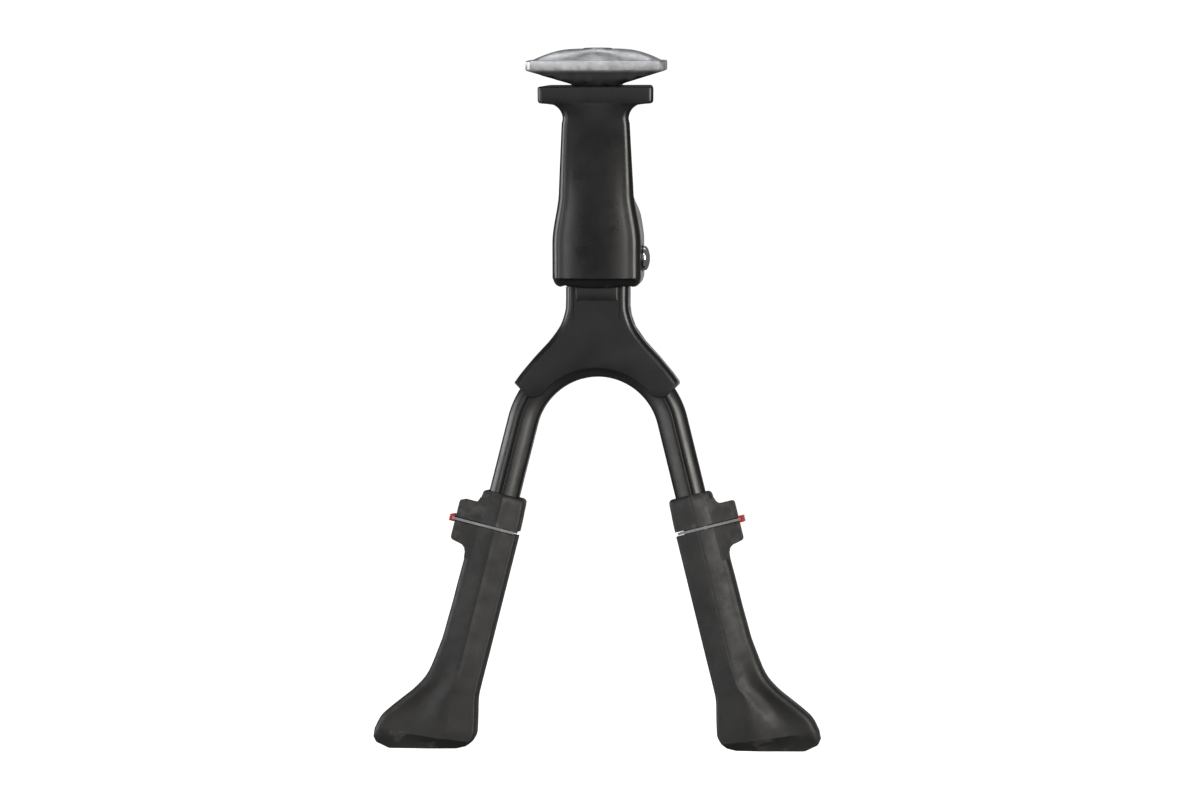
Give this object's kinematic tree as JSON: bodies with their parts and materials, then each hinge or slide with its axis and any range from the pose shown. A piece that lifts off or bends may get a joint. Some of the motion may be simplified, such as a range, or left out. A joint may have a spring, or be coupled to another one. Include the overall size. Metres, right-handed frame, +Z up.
{
  "type": "bicycle centre kickstand",
  "caption": "Double-leg folding centre kickstand with a bolted clamp plate, pivot housing, bent twin-leg frame and adjustable flared feet.",
  "frame": {"origin": "centre of the housing's top seat, on the clamp bolt's axis", "axes": "+Z up along the clamp bolt, +X to the right seen from the closed front, which faces -Y; the legs fold towards +Y"},
  "size_m": [0.212, 0.049, 0.3308],
  "materials": {
    "black_paint": "semi-gloss black paint",
    "bright_chrome": "bright plated",
    "dark_steel": "oiled steel",
    "white_nylon": "matt",
    "cast_aluminium": "satin casting",
    "zinc_steel": "zinc plated",
    "bronze": "sintered, oiled",
    "black_nylon": "fine matt grain",
    "red_plastic": "semi-gloss"
  },
  "bodies": {
    "mount_body": {"housing": "black_paint", "pivot_screw": "bright_chrome", "pivot_stub": "dark_steel", "spring_anchor_pin": "dark_steel", "pivot_washer_left": "white_nylon", "pivot_washer_right": "white_nylon"},
    "clamp_carriage": {"lock_washer": "dark_steel"},
    "clamp_plate_body": {"clamp_plate": "cast_aluminium"},
    "clamp_bolt_body": {"clamp_bolt": "zinc_steel"},
    "legs": {"yoke_plate": "black_paint", "yoke_channel": "black_paint", "leg_frame": "black_paint", "pivot_bush_left": "bronze", "pivot_bush_right": "bronze", "spring_hook_pin": "dark_steel"},
    "spring": {"return_spring": "dark_steel"},
    "left_foot_body": {"left_foot": "black_nylon"},
    "right_foot_body": {"right_foot": "black_nylon"},
    "left_clip_body": {"left_clip": "zinc_steel", "left_clip_tab": "red_plastic"},
    "right_clip_body": {"right_clip": "zinc_steel", "right_clip_tab": "red_plastic"}
  },
  "joints": [
    {"name": "clamp_lift", "type": "slide", "parent": "mount_body", "child": "clamp_carriage", "axis": [0, 0, 1], "range_m": [0, 0.022]},
    {"name": "clamp_swivel", "type": "hinge", "parent": "clamp_carriage", "child": "clamp_plate_body", "pos_m": [0, 0, 0.01], "axis": [0, 0, 1], "range_deg": [-90, 90]},
    {"name": "bolt_turn", "type": "hinge", "parent": "clamp_carriage", "child": "clamp_bolt_body", "pos_m": [0, 0, 0], "axis": [0, 0, 1], "range_deg": [0, 5285]},
    {"name": "leg_fold", "type": "hinge", "parent": "mount_body", "child": "legs", "pos_m": [0, 0, -0.0815], "axis": [1, 0, 0], "range_deg": [0, 95], "deforming": ["return_spring"]},
    {"name": "spring_swing", "type": "hinge", "parent": "mount_body", "child": "spring", "pos_m": [0, 0, -0.042], "axis": [1, 0, 0], "range_deg": [0, 22.5]},
    {"name": "left_foot_slide", "type": "slide", "parent": "legs", "child": "left_foot_body", "axis": [-0.2419, -0.0846, -0.9666], "range_m": [0, 0.04]},
    {"name": "right_foot_slide", "type": "slide", "parent": "legs", "child": "right_foot_body", "axis": [0.2419, -0.0846, -0.9666], "range_m": [0, 0.04]},
    {"name": "left_clip_pull", "type": "slide", "parent": "left_foot_body", "child": "left_clip_body", "axis": [-0.9703, 0.0211, 0.241], "range_m": [0, 0.008]},
    {"name": "right_clip_pull", "type": "slide", "parent": "right_foot_body", "child": "right_clip_body", "axis": [0.9703, 0.0211, 0.241], "range_m": [0, 0.008]}
  ],
  "couplings": [
    {"joint": "bolt_turn", "follows": "clamp_lift", "rad_per_m": 4188.8},
    {"joint": "spring_swing", "follows": "leg_fold", "ratio": 0.2353}
  ]
}
